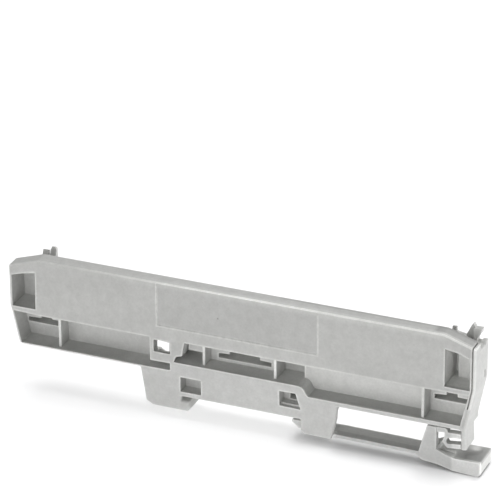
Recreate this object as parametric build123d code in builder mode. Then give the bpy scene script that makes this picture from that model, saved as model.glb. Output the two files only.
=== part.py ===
from build123d import *
import os

# End cover for a row of rail-mounted housings: one long moulded cover with a
# rail foot, a sliding foot latch and the springy leaf that returns the latch.
# Millimetres. +X along the cover, +Z up, the front face looks toward -Y.
# Origin: middle of the seat under the foot, half way through the thickness.

# ---------------------------------------------------------------- dimensions
cover_length = 146.0      # along X
cover_thick = 11.25       # front face to the back edge of the end walls
seat_centre = 73.6        # from the left end to the middle of the 35 mm seat
seat_drop = 7.3           # rim underside down to the seat face
panel_top = 29.0          # top of the panel above the rim underside
end_shoulder = 25.9       # height where the top chamfer meets the end wall
shoulder_run = 9.6        # length of that chamfer
end_knee = 12.7           # height where the end wall starts to slant inward
end_slant = 2.7           # run of the slant at the rim
flange_depth = 5.2        # depth of the top flange behind the front face
rear_top_mid = 25.2       # top of the rear box, middle
rear_top_end = 23.3       # top of the rear box, ends
front_wall = 1.5
wall = 1.2
rim = 0.8                 # thickness of the lower rim
right_rim_drop = 0.9      # the rim right of the foot hangs this much lower
band_top = 10.7           # lower edge of the flat panel
band_depth = 6.7          # floor of the recessed band, left run
right_depth = 5.6         # floor of the right run
right_cell_depth = 6.2    # floor of the cell at the right end
mid_depth = 6.0           # floor of the band over the foot
side_cell_depth = 8.5     # floor of the two cells beside it
floor_thick = 1.4
corner_left_depth = 8.4   # floors of the two corner pockets
corner_right_depth = 7.2
foot_bottom = -12.0
foot_left = 42.1
seat_left = 55.2
seat_right = 92.9
block_right = 104.35
lip_slot = 1.4            # height of the slot that takes the seat lip
label_step = 0.18         # depth of the shallow label field
rib = 0.8
rib_set_back = 1.6
slot_back = 10.55         # blind slots end this deep

latch_travel = 2.2
latch_front = 0.3         # latch sits this far behind the front face
latch_depth = 7.5
bar_depth = 6.4
strut_depth = 1.9
tab_depth = 9.6
plate_thick = 1.4         # front plate of the latch block
leaf_thick = 1.0
leaf_depth = 2.3
rung_depth = 2.1

x_left = -seat_centre
y_front = -cover_thick / 2
L = cover_length
T = cover_thick

# Drawing plane: on the front face, its corner at the left end of the cover
# and the underside of the rim. x runs along the cover, y runs up.
front = Plane(origin=(x_left, y_front, seat_drop), x_dir=(1, 0, 0), z_dir=(0, -1, 0))


def at(depth):
    return front.offset(-depth)


# ------------------------------------------------------------- cover moulding
outline = [
    ((end_slant, 0), 1.6),
    ((foot_left, 0), 0.4),
    ((43.8, -10.8), 0.7),
    ((46.0, foot_bottom), 0.8),
    ((57.0, foot_bottom), 0.5),
    ((58.2, -10.7), 0.4),
    ((57.7, -seat_drop - lip_slot), 0.3),
    ((seat_left, -seat_drop - lip_slot), 0.25),
    ((seat_left, -seat_drop), 0.25),
    ((seat_right, -seat_drop), 0.4),
    ((seat_right, -10.8), 0.7),
    ((94.3, foot_bottom), 0.5),
    ((102.4, foot_bottom), 0.3),
    ((103.05, -9.5), 2.0),
    ((104.05, -5.2), 2.0),
    ((block_right, -right_rim_drop), 0.5),
    ((142.15, -right_rim_drop), 0.5),
    ((142.3, -7.3), 0.3),
    ((143.9, -7.1), 0.4),
    ((143.55, 0.4), 0.6),
    ((L, end_knee), 3.0),
    ((L, end_shoulder), 0.5),
    ((L - shoulder_run, panel_top), 3.0),
    ((shoulder_run, panel_top), 3.0),
    ((0, end_shoulder), 0.9),
    ((0, end_knee), 3.0),
]

with BuildPart() as body:
    # full silhouette: panel, rim, foot with its fixed hook, latch block, post
    with BuildSketch(front):
        with BuildLine():
            FilletPolyline(
                *[p for p, r in outline], radius=[r for p, r in outline], close=True
            )
        make_face()
    extrude(amount=-T)

    # rounded front edge along the top of the panel and its chamfers
    top_edges = (
        body.edges()
        .filter_by_position(Axis.Y, y_front - 0.01, y_front + 0.01)
        .filter_by(lambda e: e.center().Z > seat_drop + 26.2)
    )
    fillet(top_edges, radius=0.7)

    # the rear box is lower than the front flange
    with BuildSketch(at(flange_depth)):
        with BuildLine():
            Polyline(
                (-2, rear_top_end - 0.38), (shoulder_run, rear_top_mid),
                (L - shoulder_run, rear_top_mid), (L + 2, rear_top_end - 0.38),
                (L + 2, 34), (-2, 34), close=True,
            )
        make_face()
    extrude(amount=-(T - flange_depth), mode=Mode.SUBTRACT)
    # rounded back edge of the flange
    back_edges = (
        body.edges()
        .filter_by_position(Axis.Y, y_front + flange_depth - 0.01, y_front + flange_depth + 0.01)
        .filter_by(lambda e: e.center().Z > seat_drop + 27.2)
    )
    fillet(back_edges, radius=0.7)

    # the post below the right end and the rim behind it are thinner than the box
    with BuildSketch(at(7.4)):
        with Locations((143.0, -5.2)):
            Rectangle(4.0, 8.0)
    extrude(amount=-(T - 7.4), mode=Mode.SUBTRACT)

    # hollow behind the panel, open at the back
    with BuildSketch(at(front_wall)):
        with BuildLine():
            Polyline(
                (9.7, band_top + wall), (L - 10.1, band_top + wall),
                (L - 10.1, panel_top - wall), (9.7, panel_top - wall), close=True,
            )
        make_face()
    extrude(amount=-(flange_depth - wall - front_wall), mode=Mode.SUBTRACT)
    with BuildSketch(at(flange_depth - wall)):
        with BuildLine():
            Polyline(
                (9.7, band_top + wall), (L - 10.1, band_top + wall),
                (L - 10.1, rear_top_mid - wall), (9.7, rear_top_mid - wall), close=True,
            )
        make_face()
    extrude(amount=-(T - flange_depth + wall), mode=Mode.SUBTRACT)

    # low stiffening ribs inside the hollow
    with BuildSketch(at(front_wall)):
        for x in (30.0, 52.0, 73.0, 94.0, 116.0):
            with Locations((x, 19.2)):
                Rectangle(1.0, 14.7)
        with Locations((73.0, 19.2)):
            Rectangle(126.4, 0.9)
    extrude(amount=-1.6)

    # corner pockets of the panel; the right one has a deeper slot along its left wall
    with BuildSketch(front):
        with BuildLine():
            Polyline((0.85, 12.6), (8.42, 12.6), (8.6, 25.0), (0.85, 22.75), close=True)
        make_face()
        with BuildLine():
            Polyline(
                (137.0, 12.5), (144.6, 12.5), (144.6, 22.4), (141.2, 23.8),
                (137.0, 24.5), close=True,
            )
        make_face()
    extrude(amount=-3.0, mode=Mode.SUBTRACT)
    with BuildSketch(at(3.0)):
        with BuildLine():
            Polyline((0.85, 12.6), (8.42, 12.6), (8.42, 23.2), (0.85, 21.8), close=True)
        make_face()
    extrude(amount=-(corner_left_depth - 3.0), mode=Mode.SUBTRACT)
    with BuildSketch(at(3.0)):
        with BuildLine():
            Polyline((137.0, 12.5), (144.6, 12.5), (144.6, 21.8), (137.0, 23.2), close=True)
        make_face()
    extrude(amount=-(corner_right_depth - 3.0), mode=Mode.SUBTRACT)
    with BuildSketch(at(corner_right_depth)):
        with BuildLine():
            Polyline((137.0, 12.5), (138.65, 12.5), (138.65, 21.6), (137.0, 21.9), close=True)
        make_face()
    extrude(amount=-(slot_back - corner_right_depth), mode=Mode.SUBTRACT)

    # recessed band along the rim: left run
    with BuildSketch(front):
        with BuildLine():
            Polyline(
                (1.1, 11.1), (3.4, rim), (51.5, rim), (51.8, rim + 0.3), (51.8, 3.1),
                (45.4, 3.1), (45.4, band_top), (9.5, band_top), close=True,
            )
        make_face()
    extrude(amount=-band_depth, mode=Mode.SUBTRACT)

    # right run, with its step up beside the foot, and the cell at the right end
    with BuildSketch(front):
        with BuildLine():
            Polyline(
                (92.0, 3.7), (93.2, 3.5), (94.1, 2.7), (94.6, 1.6), (95.4, 0.75),
                (142.0, 0.75), (142.2, 2.2), (144.3, 10.9), (136.0, 10.85),
                (130.0, band_top), (92.0, band_top), close=True,
            )
        make_face()
    extrude(amount=-right_depth, mode=Mode.SUBTRACT)
    with BuildSketch(at(right_depth)):
        with BuildLine():
            Polyline(
                (130.35, 0.75), (142.0, 0.75), (142.2, 2.2), (144.3, 10.9),
                (130.35, 10.85), close=True,
            )
        make_face()
    extrude(amount=-(right_cell_depth - right_depth), mode=Mode.SUBTRACT)

    # middle run over the foot, and the deeper cells at both its ends
    with BuildSketch(front):
        with BuildLine():
            Polyline(
                (53.0, 3.75), (92.1, 3.7), (92.1, band_top), (56.5, band_top),
                (55.95, 8.2), (55.6, 6.2), (53.8, 5.7), (53.4, 5.0), close=True,
            )
        make_face()
    extrude(amount=-mid_depth, mode=Mode.SUBTRACT)
    with BuildSketch(at(mid_depth)):
        with BuildLine():
            Polyline(
                (54.0, 3.75), (61.95, 3.75), (61.95, band_top), (56.5, band_top),
                (55.95, 8.2), (55.6, 6.2), (54.2, 5.8), close=True,
            )
        make_face()
        with BuildLine():
            Polyline((84.5, 3.7), (92.1, 3.7), (92.1, band_top), (84.5, band_top), close=True)
        make_face()
    extrude(amount=-(side_cell_depth - mid_depth), mode=Mode.SUBTRACT)

    # blind slots in the band floor
    with BuildSketch(at(band_depth)):
        with BuildLine():
            Polyline(
                (2.7, 4.7), (12.7, 4.7), (12.7, 6.4), (10.4, 6.5), (10.4, 8.6),
                (6.9, 8.6), (6.9, 6.2), (2.7, 6.1), close=True,
            )
        make_face()
    extrude(amount=-(slot_back - band_depth), mode=Mode.SUBTRACT)
    with BuildSketch(at(right_cell_depth)):
        with BuildLine():
            Polyline(
                (131.9, 4.65), (142.4, 4.65), (142.6, 6.2), (138.9, 6.3), (138.9, 8.9),
                (135.6, 8.9), (135.6, 6.4), (131.9, 6.1), close=True,
            )
        make_face()
    extrude(amount=-(slot_back - right_cell_depth), mode=Mode.SUBTRACT)
    with BuildSketch(at(mid_depth)):
        with BuildLine():
            Polyline(
                (64.8, 4.75), (81.5, 4.75), (81.5, 6.2), (77.9, 6.3), (77.9, 9.5),
                (68.3, 9.5), (68.3, 6.4), (64.8, 6.2), close=True,
            )
        make_face()
    extrude(amount=-(slot_back - mid_depth), mode=Mode.SUBTRACT)

    # small block that hangs from the panel in the cell beside the lug
    with BuildSketch(at(3.6)):
        with Locations((59.05, 8.85)):
            Rectangle(5.6, 4.0)
    extrude(amount=-(side_cell_depth - 3.6))

    # upright ribs that divide the band, set back from the face
    with BuildSketch(at(rib_set_back)):
        with Locations((15.45, 5.8)):
            Rectangle(rib, 10.2)
        with Locations((61.95, 7.2)):
            Rectangle(rib, 7.4)
        with Locations((84.45, 7.2)):
            Rectangle(rib, 7.4)
    extrude(amount=-(side_cell_depth - rib_set_back))
    with BuildSketch(at(0.7)):
        with Locations((130.35, 5.75)):
            Rectangle(rib, 10.3)
    extrude(amount=-(right_cell_depth - 0.7))

    # square window through the lug, opening into a hollow behind it
    with BuildSketch(front):
        with Locations((49.25, 8.1)):
            RectangleRounded(5.3, 3.9, 0.35)
    extrude(amount=-2.6, mode=Mode.SUBTRACT)
    with BuildSketch(at(2.3)):
        with BuildLine():
            Polyline(
                (44.2, 0.6), (52.4, 0.6), (52.4, 5.4), (54.4, 7.2), (54.6, 10.0),
                (44.2, 10.0), close=True,
            )
        make_face()
    extrude(amount=-(T - 2.3), mode=Mode.SUBTRACT)

    # the lug is thinner below the window
    with BuildSketch(at(1.2)):
        with Locations((48.9, 4.6)):
            Rectangle(5.3, 3.2)
    extrude(amount=-1.4, mode=Mode.SUBTRACT)
    # thin web across the back of that hollow, with a smaller opening
    with BuildSketch(at(10.7)):
        with Locations((46.6, 5.4)):
            Rectangle(12.0, 9.8)
        with BuildLine():
            Polyline(
                (43.6, 3.95), (46.9, 3.75), (46.9, 0.65), (45.4, 0.65), (44.7, 1.15),
                (43.7, 1.6), (42.5, 1.95), close=True,
            )
        make_face(mode=Mode.SUBTRACT)
    extrude(amount=-(T - 10.7))

    # shallow label field on the panel; its lower and right borders are sloped
    with BuildSketch(front):
        with Locations((72.9, 21.9)):
            Rectangle(50.2, 13.4)
    extrude(amount=-label_step, mode=Mode.SUBTRACT)
    with BuildSketch(Plane(origin=(x_left + 47.8, 0, 0), x_dir=(0, 1, 0), z_dir=(1, 0, 0))):
        with BuildLine():
            Polyline(
                (y_front - 0.1, seat_drop + 15.2), (y_front - 0.1, seat_drop + 14.64),
                (y_front + label_step, seat_drop + 15.2), close=True,
            )
        make_face()
    extrude(amount=50.2, mode=Mode.SUBTRACT)
    with BuildSketch(Plane(origin=(0, 0, seat_drop + 15.2), x_dir=(1, 0, 0), z_dir=(0, 0, 1))):
        with BuildLine():
            Polyline(
                (x_left + 98.0, y_front - 0.1), (x_left + 98.56, y_front - 0.1),
                (x_left + 98.0, y_front + label_step), close=True,
            )
        make_face()
    extrude(amount=13.4, mode=Mode.SUBTRACT)

    # coring behind the band floor
    with BuildSketch(at(band_depth + floor_thick)):
        with Locations((30.45, 5.9)):
            Rectangle(27.7, 8.6)
    extrude(amount=-(T - band_depth - floor_thick), mode=Mode.SUBTRACT)
    with BuildSketch(at(right_depth + floor_thick)):
        with Locations((113.0, 5.7)):
            Rectangle(31.8, 9.0)
    extrude(amount=-(T - right_depth - floor_thick), mode=Mode.SUBTRACT)

    # hollows of the foot, open at the back
    with BuildSketch(at(front_wall)):
        with BuildLine():
            Polyline(
                (44.0, -0.6), (53.8, -0.6), (53.8, -10.6), (46.4, -10.6), (45.0, -9.9),
                close=True,
            )
        make_face()
        with Locations((73.9, -1.6)):
            Rectangle(22.4, 8.4)
        with Locations((96.6, -2.7)):
            Rectangle(4.0, 4.4)
    extrude(amount=-(T - front_wall), mode=Mode.SUBTRACT)

    # front pockets of the foot
    with BuildSketch(front):
        with Locations((58.3, -3.2)):
            Rectangle(6.6, 4.8)
        with BuildLine():
            Polyline((86.3, 0.9), (91.4, 1.0), (93.0, -4.0), (86.4, -3.8), close=True)
        make_face()
    extrude(amount=-3.9, mode=Mode.SUBTRACT)
    with BuildSketch(at(3.9)):
        with BuildLine():
            Polyline((88.3, 0.8), (90.7, 0.9), (91.8, -3.2), (88.3, -3.1), close=True)
        make_face()
    extrude(amount=-5.0, mode=Mode.SUBTRACT)
    # raised step in the bottom of the right pocket
    with BuildSketch(at(1.3)):
        with Locations((89.75, -3.75)):
            Rectangle(7.2, 0.7)
    extrude(amount=-2.6)

    # behind its front plate the latch block is narrower
    with BuildSketch(at(plate_thick)):
        with BuildLine():
            Polyline(
                (99.5, -2.1), (107.0, -2.1), (107.0, -13.0), (99.5, -13.0), close=True,
            )
        make_face()
    extrude(amount=-(T - plate_thick), mode=Mode.SUBTRACT)

    # latch channel through the block: mouth to the right, window to the left,
    # open below between two guide ledges
    with BuildSketch(at(latch_front + 1.3)):
        with BuildLine():
            Polyline(
                (94.2, -8.4), (100.5, -8.4), (100.5, -11.45), (94.2, -11.45), close=True,
            )
        make_face()
        with Locations((92.5, -10.05)):
            Rectangle(4.0, 3.1)
    extrude(amount=-(latch_depth - 1.3 + 0.3), mode=Mode.SUBTRACT)
    with BuildSketch(at(latch_front + 2.3)):
        with Locations((96.0, -11.8)):
            Rectangle(8.0, 1.5)
    extrude(amount=-(latch_depth - 3.0), mode=Mode.SUBTRACT)

    # seam: a narrow groove that parts the panel from the right end wall
    with BuildSketch(front):
        with BuildLine():
            Polyline(
                (145.05, 30.0), (145.5, 30.0), (145.5, 12.9), (144.2, 6.4),
                (143.8, 6.4), (145.05, 12.7), close=True,
            )
        make_face()
    extrude(amount=-0.9, mode=Mode.SUBTRACT)
    with BuildSketch(front):
        with Locations((145.275, 26.3)):
            Rectangle(0.45, 2.2)
    extrude(amount=-flange_depth, mode=Mode.SUBTRACT)

    # snap hooks and nub on the rear box, each with a sloped front
    for x0, x1, d0, d1, z1 in (
        (6.55, 8.35, 8.6, 10.4, 27.5),
        (9.1, 10.9, 8.8, 10.4, 28.9),
        (135.6, 136.8, 8.8, 10.2, 26.8),
    ):
        with BuildSketch(Plane(origin=(x_left + x0, 0, 0), x_dir=(0, 1, 0), z_dir=(1, 0, 0))):
            with BuildLine():
                Polyline(
                    (y_front + d0, seat_drop + 23.2), (y_front + d1, seat_drop + z1),
                    (y_front + T, seat_drop + z1 - 0.3), (y_front + T, seat_drop + 23.2),
                    close=True,
                )
            make_face()
        extrude(amount=x1 - x0)
    # the second hook on the left has a narrower head
    with BuildSketch(at(8.0)):
        with BuildLine():
            Polyline((8.95, 27.6), (9.7, 29.3), (8.95, 29.3), close=True)
        make_face()
        with BuildLine():
            Polyline((11.0, 27.9), (11.0, 29.3), (10.3, 29.3), close=True)
        make_face()
    extrude(amount=-3.5, mode=Mode.SUBTRACT)
    # arrow-shaped hook near the right end: a pointed plate and a lobe before it
    with BuildSketch(at(9.7)):
        with BuildLine():
            Polyline(
                (140.0, 23.2), (140.0, 25.2), (141.55, 28.4), (142.0, 28.95),
                (142.55, 27.8), (143.2, 23.2), close=True,
            )
        make_face()
    extrude(amount=-(T - 9.7))
    with BuildSketch(at(9.0)):
        with BuildLine():
            Polyline(
                (142.3, 22.8), (142.3, 27.6), (144.7, 27.7), (144.5, 26.4), (143.4, 24.6),
                (143.4, 22.8), close=True,
            )
        make_face()
    extrude(amount=-(T - 9.0))
    # raised back corner of the right end wall
    with BuildSketch(Plane(origin=(x_left + L - 1.3, 0, 0), x_dir=(0, 1, 0), z_dir=(1, 0, 0))):
        with BuildLine():
            Polyline(
                (y_front + 7.0, seat_drop + 22.4), (y_front + 10.4, seat_drop + 24.2),
                (y_front + T, seat_drop + 24.2), (y_front + T, seat_drop + 22.4),
                close=True,
            )
        make_face()
    extrude(amount=1.3)

    # small catch window in the right end wall
    with BuildSketch(Plane(origin=(x_left + L, 0, 0), x_dir=(0, 1, 0), z_dir=(1, 0, 0))):
        with Locations((y_front + 9.0, seat_drop + 14.2)):
            Rectangle(0.8, 2.4)
    extrude(amount=-0.6, mode=Mode.SUBTRACT)


body.part.label = "end_cover_body"
export_step(body.part, "parts/end_cover_body.step")

# ----------------------------------------------------------------- foot latch
with BuildPart() as latch:
    # nose and shank, guided in the block
    with BuildSketch(at(latch_front + 1.6)):
        with BuildLine():
            FilletPolyline(
                (89.6, -8.7), (89.6, -9.4), (91.7, -11.15), (99.2, -11.15), (99.2, -9.2),
                (97.5, -8.7),
                radius=[0.25, 0.3, 0.3, 0.3, 0.3, 0.25], close=True,
            )
        make_face()
    extrude(amount=-(latch_depth - 1.6))
    # thin bar between the shank and the tab, behind the plate and then level with it
    with BuildSketch(at(latch_front + 1.6)):
        with BuildLine():
            Polyline(
                (98.8, -10.1), (104.8, -10.1), (104.8, -11.1), (98.8, -11.15), close=True,
            )
        make_face()
    extrude(amount=-(bar_depth - 1.6))
    with BuildSketch(at(latch_front)):
        with BuildLine():
            Polyline(
                (103.45, -10.05), (104.8, -10.05), (124.0, -10.15), (130.2, -10.3),
                (130.2, -11.2), (103.2, -11.1), close=True,
            )
        make_face()
    extrude(amount=-bar_depth)
    # upright strut up to the rim
    with BuildSketch(at(latch_front)):
        with BuildLine():
            FilletPolyline(
                (128.9, -11.5), (129.4, -10.2), (131.85, -1.25), (134.75, -1.25),
                (134.75, -11.5),
                radius=[0.2, 0.6, 0.4, 0.3, 0.2], close=True,
            )
        make_face()
    extrude(amount=-strut_depth)
    # finger tab
    with BuildSketch(at(latch_front)):
        with BuildLine():
            FilletPolyline(
                (128.3, -11.0), (134.6, -8.35), (135.2, -8.6), (137.5, -9.6),
                (140.1, -10.4), (148.2, -10.3), (148.2, -14.3), (147.3, -14.95),
                (139.9, -14.5), (135.2, -13.3), (130.4, -12.8),
                radius=[0.3, 0.2, 0.2, 1.0, 1.5, 0.3, 0.4, 0.4, 1.5, 1.5, 1.0], close=True,
            )
        make_face()
    extrude(amount=-tab_depth)
    # behind the front wall of the tab its top is lower, with one small ridge
    with BuildSketch(at(latch_front + 1.0)):
        with BuildLine():
            Polyline(
                (134.75, -7.0), (140.6, -7.0), (140.6, -10.35), (139.6, -10.1),
                (134.75, -10.0), close=True,
            )
        make_face()
    extrude(amount=-tab_depth, mode=Mode.SUBTRACT)
    with BuildSketch(at(3.0)):
        with Locations((137.2, -10.0)):
            Rectangle(5.0, 0.8)
    extrude(amount=-0.6)
    # the tab narrows in depth where the bar joins it
    with BuildSketch(at(latch_front + latch_depth)):
        with Locations((133.4, -11.0)):
            Rectangle(11.2, 10.0)
    extrude(amount=-4.0, mode=Mode.SUBTRACT)
    # shallow thumb dish in the top of the tab
    with Locations((x_left + 144.0, y_front + 6.9, seat_drop - 10.35 + 8.6)):
        Sphere(radius=9.0, mode=Mode.SUBTRACT)
latch.part.label = "foot_latch"
export_step(latch.part, "parts/foot_latch.step")

# --------------------------------------------------------------- return leaf
# Thin S-shaped leaf with two rungs, between the strut and the post.
leaf_front = 0.5
with BuildPart() as leaf:
    with BuildSketch(at(leaf_front)):
        with BuildLine():
            FilletPolyline(
                (134.8, -1.75), (137.6, -1.65), (137.65, -3.9), (137.05, -5.4),
                (137.95, -6.75), (142.1, -6.4),
                radius=0.7,
            )
        trace(line_width=leaf_thick)
        with BuildLine():
            Polyline((134.8, -1.4), (137.6, -1.4), (137.6, -2.55), (134.8, -2.85), close=True)
        make_face()
    extrude(amount=-leaf_depth)
    with BuildSketch(at(leaf_front)):
        with BuildLine():
            Polyline((137.8, -2.45), (142.1, -2.25), (142.1, -3.65), (137.8, -4.15), close=True)
        make_face()
        with BuildLine():
            Polyline((137.9, -6.1), (142.1, -5.6), (142.1, -7.0), (138.0, -7.4), close=True)
        make_face()
    extrude(amount=-rung_depth)
leaf.part.label = "latch_spring"
export_step(leaf.part, "parts/latch_spring.step")

for piece in (body, latch, leaf):
    bb = piece.part.bounding_box()
    print(
        piece.part.label, len(piece.part.solids()), round(piece.part.volume, 1),
        tuple(round(v, 2) for v in bb.min), tuple(round(v, 2) for v in bb.max),
    )
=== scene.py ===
import math

import bmesh
import bpy
from mathutils import Matrix, Vector


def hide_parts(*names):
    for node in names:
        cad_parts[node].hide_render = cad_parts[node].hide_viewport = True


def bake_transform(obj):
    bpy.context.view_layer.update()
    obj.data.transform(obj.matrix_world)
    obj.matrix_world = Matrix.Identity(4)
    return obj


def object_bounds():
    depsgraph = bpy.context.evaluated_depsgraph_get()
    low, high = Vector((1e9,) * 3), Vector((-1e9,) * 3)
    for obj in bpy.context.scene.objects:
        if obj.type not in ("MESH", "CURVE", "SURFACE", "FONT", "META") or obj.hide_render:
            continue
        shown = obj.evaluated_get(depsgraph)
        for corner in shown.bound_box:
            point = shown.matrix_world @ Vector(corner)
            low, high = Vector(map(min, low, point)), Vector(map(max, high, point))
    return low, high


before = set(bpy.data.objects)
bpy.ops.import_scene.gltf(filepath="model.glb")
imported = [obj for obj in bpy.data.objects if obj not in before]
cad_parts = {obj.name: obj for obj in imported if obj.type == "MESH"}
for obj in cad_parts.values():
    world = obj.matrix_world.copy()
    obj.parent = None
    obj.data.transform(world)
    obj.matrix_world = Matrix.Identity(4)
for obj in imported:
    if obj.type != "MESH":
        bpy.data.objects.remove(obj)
cad_low, cad_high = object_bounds()

MM = 0.001


# ------------------------------------------------------------------ materials
# strength of the painted shade on the upper panel face
PAINTED_PANEL_SHADE = 0.885
# strength of the painted highlight on the flange's front edge
CREST_HIGHLIGHT = 1.47


def plastic(name, base, seed, edge_highlight_tone, panel=False):
    """Fine matt moulded plastic: faint flow marks, mottled gloss, a fine eroded grain, edges lighter with a
    painted highlight and some rubbing wear. panel adds the cover's zones of painted light and shade, its label
    marks and a pin mark."""
    mat = bpy.data.materials.new(name)
    mat.use_nodes = True
    nt = mat.node_tree
    n = nt.nodes
    link = nt.links.new
    bsdf = n["Principled BSDF"]
    bsdf.inputs["IOR"].default_value = 1.5
    bsdf.inputs["Specular IOR Level"].default_value = 0.42

    geo = n.new("ShaderNodeTexCoord")

    def noise(scale, detail, rough, offset, stretch=(1, 1, 1)):
        mp = n.new("ShaderNodeMapping")
        mp.inputs["Location"].default_value = (offset + seed, offset * 0.7, seed * 1.3)
        mp.inputs["Scale"].default_value = stretch
        link(geo.outputs["Object"], mp.inputs["Vector"])
        t = n.new("ShaderNodeTexNoise")
        t.inputs["Scale"].default_value = scale
        t.inputs["Detail"].default_value = detail
        t.inputs["Roughness"].default_value = rough
        link(mp.outputs["Vector"], t.inputs["Vector"])
        return t.outputs["Fac"]

    def ramp(fac, stops):
        r = n.new("ShaderNodeValToRGB")
        e = r.color_ramp.elements
        while len(e) > 1:
            e.remove(e[0])
        e[0].position, e[0].color = stops[0][0], (*stops[0][1], 1)
        for pos, col in stops[1:]:
            x = e.new(pos)
            x.color = (*col, 1)
        link(fac, r.inputs["Fac"])
        return r.outputs["Color"]

    def mix(kind, fac, a, b):
        m = n.new("ShaderNodeMix")
        m.data_type = "RGBA"
        m.blend_type = kind
        m.clamp_result = False
        if isinstance(fac, float):
            m.inputs[0].default_value = fac
        else:
            link(fac, m.inputs[0])
        for sock, val in ((m.inputs[6], a), (m.inputs[7], b)):
            if isinstance(val, tuple):
                sock.default_value = (*val, 1)
            else:
                link(val, sock)
        return m.outputs[2]

    def math_node(op, a, b=None):
        m = n.new("ShaderNodeMath")
        m.operation = op
        for i, v in enumerate((a, b)):
            if v is None:
                continue
            if isinstance(v, (int, float)):
                m.inputs[i].default_value = v
            else:
                link(v, m.inputs[i])
        return m.outputs[0]

    def fade(value, low, high, to_low=0.0, to_high=1.0):
        m = n.new("ShaderNodeMapRange")
        m.interpolation_type = "SMOOTHSTEP"
        m.inputs["From Min"].default_value = low
        m.inputs["From Max"].default_value = high
        m.inputs["To Min"].default_value = to_low
        m.inputs["To Max"].default_value = to_high
        link(value, m.inputs["Value"])
        return m.outputs["Result"]

    def span(value, low, high, soft):
        """1 between low and high, 0 outside, soft edges."""
        off = math_node("ABSOLUTE", math_node("SUBTRACT", value, (low + high) / 2))
        half = (high - low) / 2
        return fade(off, half - soft / 2, half + soft / 2, 1.0, 0.0)

    # broad flow marks, drawn out along the moulding
    flow = noise(55.0, 4.0, 0.55, 0.31, (0.45, 1.0, 1.3))
    dark = tuple(c * 0.945 for c in base)
    light = tuple(c * 1.04 for c in base)
    col = ramp(flow, [(0.32, dark), (0.52, base), (0.72, light)])
    # cloudy mottling of a few millimetres, and a finer one
    cloud = noise(380.0, 3.0, 0.6, 0.77)
    col = mix("MULTIPLY", 1.0, col, ramp(cloud, [(0.3, (0.925, 0.925, 0.923)), (0.7, (1.03, 1.03, 1.03))]))
    fine = noise(1500.0, 2.0, 0.6, 2.1)
    col = mix("MULTIPLY", 1.0, col, ramp(fine, [(0.3, (0.95, 0.95, 0.95)), (0.7, (1.03, 1.03, 1.03))]))
    # a few tiny specks in the resin
    speck = noise(2600.0, 1.0, 0.4, 1.9)
    col = mix("MULTIPLY", 1.0, col, ramp(speck, [(0.19, (0.86, 0.86, 0.85)), (0.25, (1, 1, 1))]))

    if panel:
        sep = n.new("ShaderNodeSeparateXYZ")
        link(geo.outputs["Object"], sep.inputs[0])
        px, py, pz = sep.outputs
        # painted shade: the panel face above the rim and foot is darker than they are, standing in for floor
        # light that reaches only the lower part
        face = fade(py, -0.00545, -0.00520, 1.0, 0.0)
        foot_rise = math_node("MULTIPLY", span(px, -0.0285, 0.0215, 0.0012), 0.0030)
        painted_upper_shade = math_node("MULTIPLY", fade(math_node("SUBTRACT", pz, foot_rise), 0.0066, 0.0086), fade(py, -0.0050, -0.0046, 1.0, 0.0))
        col = mix("MULTIPLY", painted_upper_shade, col, (PAINTED_PANEL_SHADE, PAINTED_PANEL_SHADE, PAINTED_PANEL_SHADE * 0.995))
        # label field: slightly darker, with painted highlight lines along its borders, where the sloped borders
        # would catch the light
        field = math_node("MULTIPLY", span(px, -0.0257, 0.0246, 0.0003), span(pz, 0.0222, 0.0356, 0.0003))
        field = math_node("MULTIPLY", field, face)
        col = mix("MULTIPLY", field, col, (0.955, 0.955, 0.957))
        low = math_node("MULTIPLY", span(pz, 0.02172, 0.02262, 0.0005), span(px, -0.0262, 0.0250, 0.0004))
        lft = math_node("MULTIPLY", span(px, -0.02608, -0.02552, 0.0003), span(pz, 0.0222, 0.0350, 0.0012))
        rgt = math_node("MULTIPLY", span(px, 0.02440, 0.02500, 0.0003), span(pz, 0.0222, 0.0350, 0.0012))
        border_highlights = math_node("MAXIMUM", low, math_node("MAXIMUM", lft, rgt))
        border_highlights = math_node("MULTIPLY", border_highlights, face)
        # patchy strength for the painted border highlights
        patchy_highlight = fade(noise(700.0, 2.0, 0.6, 5.7), 0.3, 0.6, 0.45, 1.0)
        border_highlights = math_node("MULTIPLY", border_highlights, patchy_highlight)
        col = mix("MULTIPLY", border_highlights, col, (1.27, 1.27, 1.27))
        # painted highlight along the rounded front edge of the top flange, where it faces the light
        tn = n.new("ShaderNodeNewGeometry")
        to_obj = n.new("ShaderNodeVectorTransform")
        to_obj.vector_type = "NORMAL"
        to_obj.convert_from = "WORLD"
        to_obj.convert_to = "OBJECT"
        link(tn.outputs["True Normal"], to_obj.inputs[0])
        sn = n.new("ShaderNodeSeparateXYZ")
        link(to_obj.outputs[0], sn.inputs[0])
        nx, ny, nz = sn.outputs
        slope = math_node("MINIMUM", math_node("MULTIPLY", ny, -1.0), nz)
        crest_highlight = math_node("MULTIPLY", fade(slope, 0.10, 0.38), fade(py, -0.00475, -0.00460, 1.0, 0.0))
        crest_highlight = math_node("MULTIPLY", crest_highlight, fade(pz, 0.0310, 0.0322))
        crest_highlight = math_node("MULTIPLY", crest_highlight, fade(noise(240.0, 3.0, 0.6, 6.9), 0.25, 0.6, 0.72, 1.0))
        crest_highlight = math_node("MULTIPLY", crest_highlight, fade(px, -0.070, 0.004, 0.3, 1.0))
        col = mix("MULTIPLY", crest_highlight, col, (CREST_HIGHLIGHT, CREST_HIGHLIGHT, CREST_HIGHLIGHT))
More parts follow.
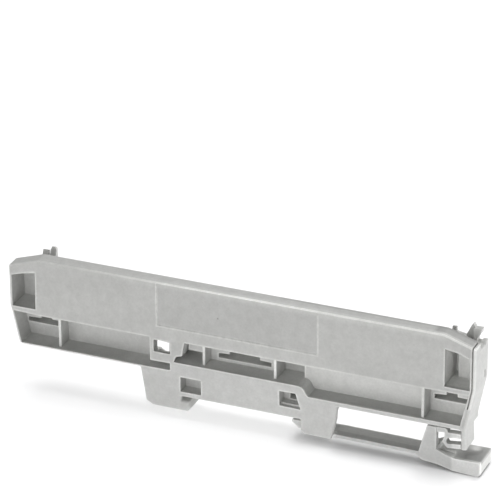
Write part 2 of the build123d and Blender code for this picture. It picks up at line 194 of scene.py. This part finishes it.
        # painted shade on its rounded back edge and the rear of its top, which turn away from the light
        slope = math_node("MINIMUM", ny, nz)
        painted_heel_shade = math_node("MULTIPLY", fade(slope, 0.10, 0.38), span(py, -0.0013, -0.0003, 0.0002))
        painted_heel_shade = math_node("MULTIPLY", painted_heel_shade, fade(pz, 0.0310, 0.0322))
        back = math_node("MULTIPLY", fade(py, -0.0024, -0.0014), fade(py, 0.0001, 0.0003, 1.0, 0.0))
        back = math_node("MULTIPLY", back, fade(pz, 0.0310, 0.0322))
        back = math_node("MULTIPLY", back, fade(px, 0.002, 0.020))
        painted_heel_shade = math_node("MAXIMUM", painted_heel_shade, back)
        painted_heel_shade = math_node("MULTIPLY", painted_heel_shade, fade(px, -0.030, 0.040, 0.7, 1.0))
        col = mix("MULTIPLY", painted_heel_shade, col, (0.82, 0.82, 0.82))
        # painted highlight spreading softly to both sides of the light front edge
        crest_highlight_spread = math_node("MULTIPLY", fade(pz, 0.0338, 0.0358), fade(py, -0.0050, -0.0032, 1.0, 0.0))
        crest_highlight_spread = math_node("MULTIPLY", crest_highlight_spread, fade(px, -0.060, 0.010, 0.25, 1.0))
        col = mix("MULTIPLY", crest_highlight_spread, col, (1.15, 1.15, 1.15))
        # painted light: the upper right pocket is made lighter than the left one, standing in for light reaching
        # into it
        pocket_light = math_node("MULTIPLY", fade(px, 0.0590, 0.0602), fade(py, -0.0050, -0.0040))
        pocket_light = math_node("MULTIPLY", pocket_light, span(pz, 0.0176, 0.0312, 0.0008))
        pocket_light = math_node("MULTIPLY", pocket_light, fade(px, 0.0712, 0.0718, 1.0, 0.0))
        col = mix("MULTIPLY", pocket_light, col, (1.22, 1.22, 1.22))
        # painted shade: the upward-facing sloping top of the right corner is darker than its front edge
        slant_shade = math_node("MULTIPLY", fade(px, 0.0590, 0.0606), fade(py, -0.0046, -0.0040))
        slant_shade = math_node("MULTIPLY", slant_shade, fade(py, 0.0001, 0.0003, 1.0, 0.0))
        slant_shade = math_node("MULTIPLY", slant_shade, math_node("MULTIPLY", fade(pz, 0.0308, 0.0316), fade(nz, 0.4, 0.7)))
        col = mix("MULTIPLY", slant_shade, col, (0.76, 0.76, 0.76))
        # recessed band: painted light on its back wall and painted shade on its upward faces, standing in for how
        # the light falls into the recess
        inner = math_node("MULTIPLY", fade(py, -0.0050, -0.0046), fade(py, 0.0012, 0.0014, 1.0, 0.0))
        facing = math_node("MULTIPLY", inner, fade(math_node("MULTIPLY", ny, -1.0), 0.6, 0.9))
        right_zone = math_node("MULTIPLY", span(px, 0.0180, 0.0685, 0.0004), span(pz, 0.0078, 0.0181, 0.0004))
        back_wall_light = math_node("MULTIPLY", facing, right_zone)
        col = mix("MULTIPLY", back_wall_light, col, (1.13, 1.13, 1.13))
        col = mix("MULTIPLY", math_node("MULTIPLY", back_wall_light, fade(pz, 0.0085, 0.0165, 1.0, 0.0)), col, (1.12, 1.12, 1.12))
        mid_zone = math_node("MULTIPLY", span(px, -0.0112, 0.0180, 0.0004), span(pz, 0.0108, 0.0181, 0.0004))
        col = mix("MULTIPLY", math_node("MULTIPLY", facing, mid_zone), col, (1.18, 1.18, 1.18))
        # painted shade on the upward faces inside the band
        level_shade = math_node("MULTIPLY", inner, fade(nz, 0.6, 0.9))
        sides = math_node("MAXIMUM", span(px, 0.0216, 0.0570, 0.0010), span(px, -0.0565, -0.0370, 0.0040))
        level_shade = math_node("MULTIPLY", math_node("MULTIPLY", level_shade, sides), span(pz, 0.0066, 0.0100, 0.0004))
        col = mix("MULTIPLY", level_shade, col, (0.82, 0.82, 0.82))
        # panel strip under the label field
        strip = math_node("MULTIPLY", span(px, -0.0240, 0.0330, 0.0080), span(pz, 0.0176, 0.0217, 0.0008))
        strip = math_node("MULTIPLY", strip, face)
        col = mix("MULTIPLY", strip, col, (1.06, 1.06, 1.06))
        # small moulded pin mark in the label field
        dx = math_node("SUBTRACT", px, -0.00646)
        dz = math_node("SUBTRACT", pz, 0.02797)
        r2 = math_node("ADD", math_node("MULTIPLY", dx, dx), math_node("MULTIPLY", dz, dz))
        dot = math_node("MULTIPLY", fade(math_node("SQRT", r2), 0.00012, 0.00034, 1.0, 0.0), face)
        col = mix("MULTIPLY", dot, col, (0.60, 0.60, 0.60))

    else:
        sep = n.new("ShaderNodeSeparateXYZ")
        link(geo.outputs["Object"], sep.inputs[0])
        px, py, pz = sep.outputs
        # painted light on the front wall of the finger tab, painted shade on its thumb rest, and a painted
        # highlight in the dish
        tab_wall_light = math_node("MULTIPLY", fade(px, 0.0652, 0.0664), fade(py, -0.0044, -0.0041, 1.0, 0.0))
        col = mix("MULTIPLY", tab_wall_light, col, (1.28, 1.28, 1.28))
        dx = math_node("MULTIPLY", math_node("SUBTRACT", px, 0.0705), 0.7)
        dy = math_node("SUBTRACT", py, 0.0029)
        r = math_node("SQRT", math_node("ADD", math_node("MULTIPLY", dx, dx), math_node("MULTIPLY", dy, dy)))
        rest = math_node("MULTIPLY", fade(px, 0.0668, 0.0705), fade(py, -0.0047, -0.0044))
        rest = math_node("MULTIPLY", rest, fade(pz, -0.0029, -0.0026, 1.0, 0.0))
        rest = math_node("MULTIPLY", rest, fade(pz, -0.0042, -0.0038))
        # painted shade over the thumb rest
        rest_shade = math_node("MULTIPLY", rest, fade(r, 0.0006, 0.0018, 0.0, 1.0))
        col = mix("MULTIPLY", rest_shade, col, (0.68, 0.68, 0.68))
        # painted highlight where the dish would catch the light
        dish_highlight = math_node("MULTIPLY", rest, fade(r, 0.0002, 0.0013, 1.0, 0.0))
        col = mix("MULTIPLY", dish_highlight, col, (1.28, 1.28, 1.28))
        # painted shade: the bar between block and strut is darker in front
        bar_shade = math_node("MULTIPLY", span(px, 0.0300, 0.0560, 0.0010), fade(py, -0.0030, -0.0026, 1.0, 0.0))
        bar_shade = math_node("MULTIPLY", bar_shade, fade(pz, -0.0026, -0.0022, 1.0, 0.0))
        col = mix("MULTIPLY", bar_shade, col, (0.86, 0.86, 0.86))
        # painted light on the tab's outer end, which faces the light from the right
        tip_light = math_node("MULTIPLY", fade(px, 0.07435, 0.07450), fade(pz, -0.0034, -0.0031, 1.0, 0.0))
        col = mix("MULTIPLY", tip_light, col, (1.30, 1.30, 1.30))

    # edges: painted highlight within less than a millimetre of an outer corner, in part rubbing wear
    ao = n.new("ShaderNodeAmbientOcclusion")
    ao.samples = 8
    ao.inside = True
    ao.only_local = True
    ao.inputs["Distance"].default_value = 0.00076
    edge_highlight_and_wear = fade(ao.outputs["AO"], 0.62, 0.97, 1.0, 0.0)
    # the painted edge highlight fades towards the back
    if panel:
        edge_highlight_and_wear = math_node("MULTIPLY", edge_highlight_and_wear, fade(py, -0.0005, 0.0025, 1.0, 0.35))
    col = mix("MULTIPLY", edge_highlight_and_wear, col, (edge_highlight_tone, edge_highlight_tone, edge_highlight_tone))
    link(col, bsdf.inputs["Base Color"])

    rgh = n.new("ShaderNodeMapRange")
    rgh.inputs["To Min"].default_value = 0.44
    rgh.inputs["To Max"].default_value = 0.62
    link(noise(260.0, 4.0, 0.6, 2.6), rgh.inputs["Value"])
    link(rgh.outputs["Result"], bsdf.inputs["Roughness"])

    # spark-eroded grain, about a quarter of a millimetre, over a soft waviness
    b1 = n.new("ShaderNodeBump")
    b1.inputs["Strength"].default_value = 0.2
    b1.inputs["Distance"].default_value = 0.00004
    link(noise(4200.0, 3.0, 0.55, 3.3), b1.inputs["Height"])
    b2 = n.new("ShaderNodeBump")
    b2.inputs["Strength"].default_value = 0.3
    b2.inputs["Distance"].default_value = 0.00010
    link(noise(120.0, 2.0, 0.5, 4.1), b2.inputs["Height"])
    edge = n.new("ShaderNodeBevel")
    edge.samples = 6
    edge.inputs["Radius"].default_value = 0.00018
    link(edge.outputs["Normal"], b1.inputs["Normal"])
    link(b1.outputs["Normal"], b2.inputs["Normal"])
    link(b2.outputs["Normal"], bsdf.inputs["Normal"])
    return mat


cover_mat = plastic("cover_plastic", (0.605, 0.607, 0.592), 0.0, 1.34, panel=True)
latch_mat = plastic("latch_plastic", (0.580, 0.582, 0.569), 5.0, 1.22)


def finish_node(name, mat):
    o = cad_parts[name]
    o.data.materials.clear()
    o.data.materials.append(mat)
    return o


finish_node("end_cover_body", cover_mat)
finish_node("foot_latch", latch_mat)
spring = finish_node("latch_spring", latch_mat)

# ------------------------------------------------------------------ return leaf
# The leaf is moulded to the strut at one end and bears on the post at the other: same shape, cut into short steps
# along X.
bm = bmesh.new()
bm.from_mesh(spring.data)
bmesh.ops.remove_doubles(bm, verts=bm.verts[:], dist=1e-6)
for step in range(17):
    bmesh.ops.bisect_plane(
        bm, geom=bm.verts[:] + bm.edges[:] + bm.faces[:], dist=1e-7,
        plane_co=(0.0620 + 0.0004 * step, 0, 0), plane_no=(1, 0, 0),
    )
bmesh.ops.triangulate(bm, faces=bm.faces[:])
for f in bm.faces:
    f.smooth = False
leaf_mesh = bpy.data.meshes.new("return_leaf")
bm.to_mesh(leaf_mesh)
bm.free()
leaf = bpy.data.objects.new("return_leaf", leaf_mesh)
bpy.context.scene.collection.objects.link(leaf)
leaf_mesh.materials.append(latch_mat)
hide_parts("latch_spring")
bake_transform(leaf)

# ---------------------------------------------------------------- stage, light
floor_z = cad_low[2] - 0.00015
bpy.ops.mesh.primitive_plane_add(size=12, location=(0, 0, floor_z))
floor = bpy.context.object
floor.name = "floor"
fm = bpy.data.materials.new("floor")
fm.use_nodes = True
fb = fm.node_tree.nodes["Principled BSDF"]
fb.inputs["Base Color"].default_value = (0.90, 0.90, 0.905, 1)
fb.inputs["Roughness"].default_value = 0.75
fb.inputs["Specular IOR Level"].default_value = 0.2
floor.data.materials.append(fm)

scene = bpy.context.scene
world = bpy.data.worlds.new("studio")
scene.world = world
world.use_nodes = True
bg = world.node_tree.nodes["Background"]
bg.inputs["Color"].default_value = (1.0, 1.0, 1.0, 1)
bg.inputs["Strength"].default_value = 0.05


# the studio lights reach only the part; the floor has its own, so that its
# white and the soft shadow on it can be set apart from the part's tones
part_only = bpy.data.collections.new("part_only")
part_only.objects.link(floor)
part_only.collection_objects[0].light_linking.link_state = "EXCLUDE"
only = bpy.data.collections.new("floor_only")
only.objects.link(floor)


def area(name, azimuth, elevation, power, size=0.6, colour=(1, 1, 1)):
    """Square soft light 1.3 m from the part, aimed at it; azimuth 0 is straight ahead."""
    a, e = math.radians(azimuth), math.radians(elevation)
    place = Vector((1.3 * math.sin(a) * math.cos(e), -1.3 * math.cos(a) * math.cos(e), 0.012 + 1.3 * math.sin(e)))
    d = bpy.data.lights.new(name, "AREA")
    d.energy = power
    d.color = colour
    d.shape = "SQUARE"
    d.size = size
    o = bpy.data.objects.new(name, d)
    scene.collection.objects.link(o)
    o.location = place
    o.rotation_euler = (Vector((0, 0, 0.012)) - place).to_track_quat("-Z", "Y").to_euler()
    o.light_linking.receiver_collection = part_only
    return o


latch_shade = bpy.data.collections.new("latch_shade")
latch_shade.objects.link(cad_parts["foot_latch"])
latch_shade.objects.link(leaf)


def floor_sun(name, strength, angle, tilt_x=0.0, tilt_y=0.0, latch_only=False):
    """Soft distant light for the floor; with latch_only just the low latch shades it."""
    d = bpy.data.lights.new(name, "SUN")
    d.energy = strength
    d.angle = math.radians(angle)
    o = bpy.data.objects.new(name, d)
    scene.collection.objects.link(o)
    o.rotation_euler = (math.radians(tilt_x), math.radians(tilt_y), 0)
    o.light_linking.receiver_collection = only
    if latch_only:
        o.light_linking.blocker_collection = latch_shade
    return o


area("front", 5, 9, 3.4)
area("front_left", -28, 12, 1.7)
area("front_high", 0, 32, 1.4)
area("top_back", 180, 72, 10.6)
area("right", 102, 14, 8.7)
floor_sun("floor_front", 0.95, 50, 42, 0, latch_only=True)
floor_sun("floor_steep", 0.45, 30, 14, 0, latch_only=True)
floor_sun("floor_back", 1.2, 40, -26, 0, latch_only=True)
floor_sun("floor_over", 1.28, 44, -9, 0)
floor_sun("floor_left", 0.35, 40, 0, -25)

# ---------------------------------------------------------------------- camera
az, el, roll = math.radians(22.784), math.radians(26.056), math.radians(-0.41)
fwd = Vector((-math.sin(az) * math.cos(el), math.cos(az) * math.cos(el), -math.sin(el)))
right = Vector((math.cos(az), math.sin(az), 0))
up = right.cross(fwd)
r2 = right * math.cos(roll) + up * math.sin(roll)
u2 = up * math.cos(roll) - right * math.sin(roll)
cam_d = bpy.data.cameras.new("camera")
cam_d.sensor_fit = "HORIZONTAL"
cam_d.sensor_width = 36.0
cam_d.lens = 3521.6 * 36.0 / 500.0
cam_d.clip_start = 0.05
cam_d.clip_end = 50.0
cam = bpy.data.objects.new("camera", cam_d)
scene.collection.objects.link(cam)
m = Matrix((r2, u2, -fwd)).transposed().to_4x4()
m.translation = Vector((0.353698, -0.838394, 0.493734))
cam.matrix_world = m
scene.camera = cam

scene.view_settings.view_transform = "Standard"
scene.view_settings.look = "None"
